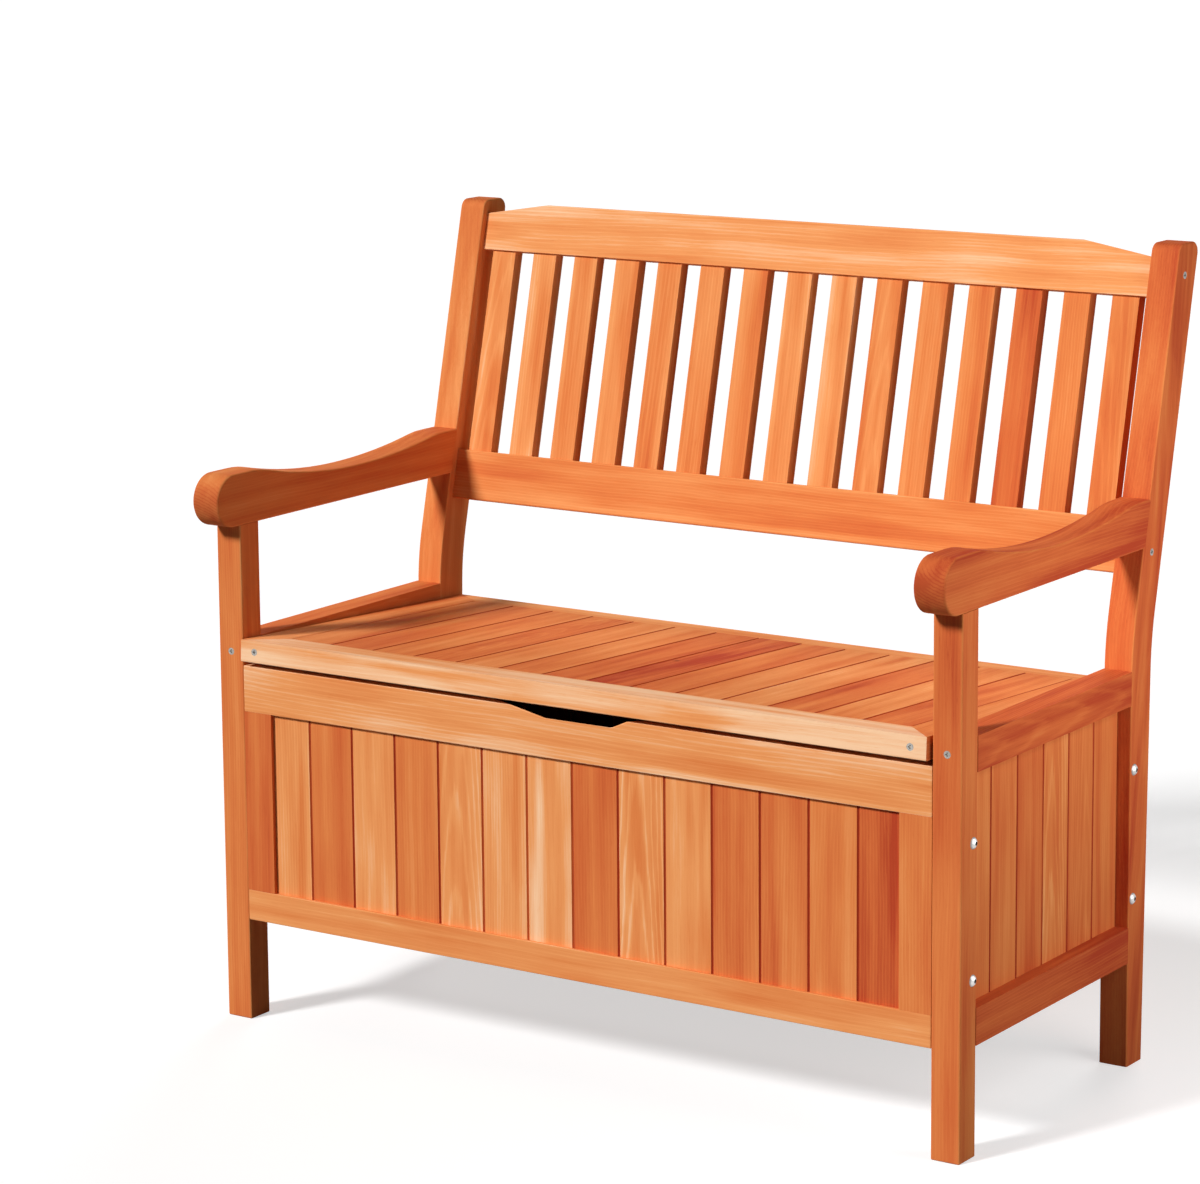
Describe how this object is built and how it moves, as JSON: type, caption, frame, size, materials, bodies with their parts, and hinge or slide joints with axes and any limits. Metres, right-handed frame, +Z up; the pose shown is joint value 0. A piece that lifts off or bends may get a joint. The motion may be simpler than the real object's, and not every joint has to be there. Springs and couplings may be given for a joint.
{
  "type": "garden storage bench",
  "caption": "Two-seat wooden garden bench with arms and a raked slat back; the plank seat is a lid that lifts on gas struts over a storage box.",
  "frame": {"origin": "on the floor, in the middle of the bounding box's footprint", "axes": "+X to the right of a viewer in front, along the length; the front faces -Y; +Z up"},
  "size_m": [0.9664, 0.5658, 0.9],
  "materials": {
    "stained_wood": "semi-matt orange-brown stain over softwood",
    "plain_wood": "sawn softwood, thinly stained",
    "zinc_steel": "zinc-plated steel",
    "strut_tube": "grey painted tube",
    "strut_rod": "ground and chromed rod",
    "black_lining": "black weather membrane"
  },
  "bodies": {
    "frame": {"front_leg_left": "stained_wood", "front_leg_right": "stained_wood", "rear_post_left": "stained_wood", "rear_post_right": "stained_wood", "armrest_left": "stained_wood", "armrest_right": "stained_wood", "back_top_rail": "stained_wood", "back_lower_rail": "stained_wood", "back_slats": "stained_wood", "front_top_rail": "stained_wood", "front_bottom_rail": "stained_wood", "front_stile_left": "stained_wood", "front_stile_right": "stained_wood", "front_planks": "stained_wood", "side_top_rail_left": "stained_wood", "side_top_rail_right": "stained_wood", "side_bottom_rail_left": "stained_wood", "side_bottom_rail_right": "stained_wood", "side_planks_left": "stained_wood", "side_planks_right": "stained_wood", "lid_ledge_left": "stained_wood", "lid_ledge_right": "stained_wood", "rear_top_rail": "stained_wood", "rear_bottom_rail": "stained_wood", "rear_stile_left": "stained_wood", "rear_stile_right": "stained_wood", "rear_planks": "stained_wood", "floor_cleats": "plain_wood", "floor_boards": "plain_wood", "panel_bolts": "zinc_steel", "barrel_nuts": "zinc_steel", "frame_screws": "zinc_steel", "frame_dowels": "plain_wood", "hinge_fixed_leaf_left": "zinc_steel", "hinge_fixed_leaf_right": "zinc_steel", "hinge_pin_left": "zinc_steel", "hinge_pin_right": "zinc_steel", "strut_box_bracket_left": "zinc_steel", "strut_box_bracket_right": "zinc_steel", "fitting_screws_frame": "zinc_steel"},
    "lid": {"lid_front_board": "stained_wood", "lid_rear_board": "stained_wood", "lid_side_board_left": "stained_wood", "lid_side_board_right": "stained_wood", "lid_stile_left": "stained_wood", "lid_stile_right": "stained_wood", "lid_battens": "stained_wood", "lid_planks": "stained_wood", "lid_lining": "black_lining", "lid_screws": "zinc_steel", "hinge_moving_leaf_left": "zinc_steel", "hinge_moving_leaf_right": "zinc_steel", "strut_lid_bracket_left": "zinc_steel", "strut_lid_bracket_right": "zinc_steel", "fitting_screws_lid": "zinc_steel"},
    "cylinder_left": {"strut_cylinder_left": "strut_tube"},
    "rod_left": {"strut_rod_left": "strut_rod"},
    "cylinder_right": {"strut_cylinder_right": "strut_tube"},
    "rod_right": {"strut_rod_right": "strut_rod"}
  },
  "joints": [
    {"name": "lid_hinge", "type": "hinge", "parent": "frame", "child": "lid", "pos_m": [0, 0.1795, 0.39829], "axis": [-1, 0, 0], "range_deg": [0, 70]},
    {"name": "strut_pivot_left", "type": "hinge", "parent": "frame", "child": "cylinder_left", "pos_m": [-0.416, -0.1025, 0.39229], "axis": [1, 0, 0], "range_deg": [0, 22.35]},
    {"name": "strut_slide_left", "type": "slide", "parent": "cylinder_left", "child": "rod_left", "axis": [0, 1, -0.003], "range_m": [0, 0.0794]},
    {"name": "strut_pivot_right", "type": "hinge", "parent": "frame", "child": "cylinder_right", "pos_m": [0.416, -0.1025, 0.39229], "axis": [1, 0, 0], "range_deg": [0, 22.35]},
    {"name": "strut_slide_right", "type": "slide", "parent": "cylinder_right", "child": "rod_right", "axis": [0, 1, -0.003], "range_m": [0, 0.0794]}
  ],
  "couplings": [
    {"joint": "strut_pivot_left", "follows": "lid_hinge", "ratio": 0.31856},
    {"joint": "strut_slide_left", "follows": "lid_hinge", "m_per_rad": 0.064789},
    {"joint": "strut_pivot_right", "follows": "lid_hinge", "ratio": 0.31856},
    {"joint": "strut_slide_right", "follows": "lid_hinge", "m_per_rad": 0.064789}
  ]
}
